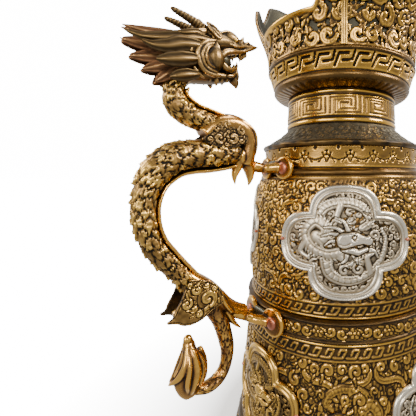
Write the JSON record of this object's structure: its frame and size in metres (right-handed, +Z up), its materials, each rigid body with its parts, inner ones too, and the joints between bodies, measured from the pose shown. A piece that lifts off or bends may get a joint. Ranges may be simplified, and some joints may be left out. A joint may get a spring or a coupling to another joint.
{
  "type": "dragon-handled ceremonial ewer",
  "caption": "Tall gilt ewer of stacked hammered sections with a pierced crown rim, silvered medallions, a scaled dragon handle, a curved spout and a lift-out lid.",
  "frame": {"origin": "centre of the foot's underside, where the base plate stands on the table", "axes": "+Z up along the vessel's axis, -X to the dragon handle, +X to the spout"},
  "size_m": [0.4085, 0.226, 0.504],
  "materials": {
    "gilt": "fire-gilt copper, rubbed bright on the high places",
    "worn_gilt": "fire-gilt copper with brown patina in the chased ground",
    "silvered": "silvered relief, softly tarnished",
    "dark_gilt": "plain sheet with a dark grey-green patina",
    "copper": "bare pink copper rivets"
  },
  "bodies": {
    "vessel": {"foot_ring": "worn_gilt", "base_plate": "worn_gilt", "lower_body": "worn_gilt", "waist_ring": "gilt", "upper_body": "worn_gilt", "lappet_collar": "gilt", "shoulder": "dark_gilt", "neck": "gilt", "crown_cup": "gilt", "crown_liner": "dark_gilt", "gallery_handle_side": "gilt", "gallery_right": "gilt", "gallery_spout_side": "gilt", "gallery_left": "gilt", "gallery_strap_1": "gilt", "gallery_strap_2": "gilt", "gallery_strap_3": "gilt", "gallery_strap_4": "gilt", "upper_medallion_frame_1": "silvered", "upper_medallion_plaque_1": "silvered", "upper_medallion_frame_2": "silvered", "upper_medallion_plaque_2": "silvered", "upper_medallion_frame_3": "silvered", "upper_medallion_plaque_3": "silvered", "upper_medallion_frame_4": "silvered", "upper_medallion_plaque_4": "silvered", "lower_medallion_frame_1": "gilt", "lower_medallion_plaque_1": "gilt", "lower_medallion_frame_2": "silvered", "lower_medallion_plaque_2": "silvered", "lower_medallion_frame_3": "silvered", "lower_medallion_plaque_3": "silvered", "dragon_neck": "worn_gilt", "dragon_loop": "worn_gilt", "dragon_tail": "worn_gilt", "upper_fork": "worn_gilt", "lower_fork": "worn_gilt", "upper_clasp": "worn_gilt", "lower_clasp": "worn_gilt", "dragon_head": "worn_gilt", "dragon_jaw": "worn_gilt", "ear_left": "worn_gilt", "ear_right": "worn_gilt", "mane": "worn_gilt", "neck_belly_strap": "gilt", "loop_belly_strap": "gilt", "tail_leaf": "gilt", "horn_left": "gilt", "horn_right": "gilt", "upper_fork_rivet_1": "copper", "upper_fork_rivet_2": "copper", "lower_fork_rivet_1": "copper", "lower_fork_rivet_2": "copper", "spout_mask": "gilt", "spout_tube": "gilt", "spout_lip": "gilt"},
    "lid": {"lid": "gilt", "lid_finial": "gilt"}
  },
  "joints": [
    {"name": "lid_lift", "type": "slide", "parent": "vessel", "child": "lid", "axis": [0, 0, 1], "range_m": [0, 0.17]}
  ]
}
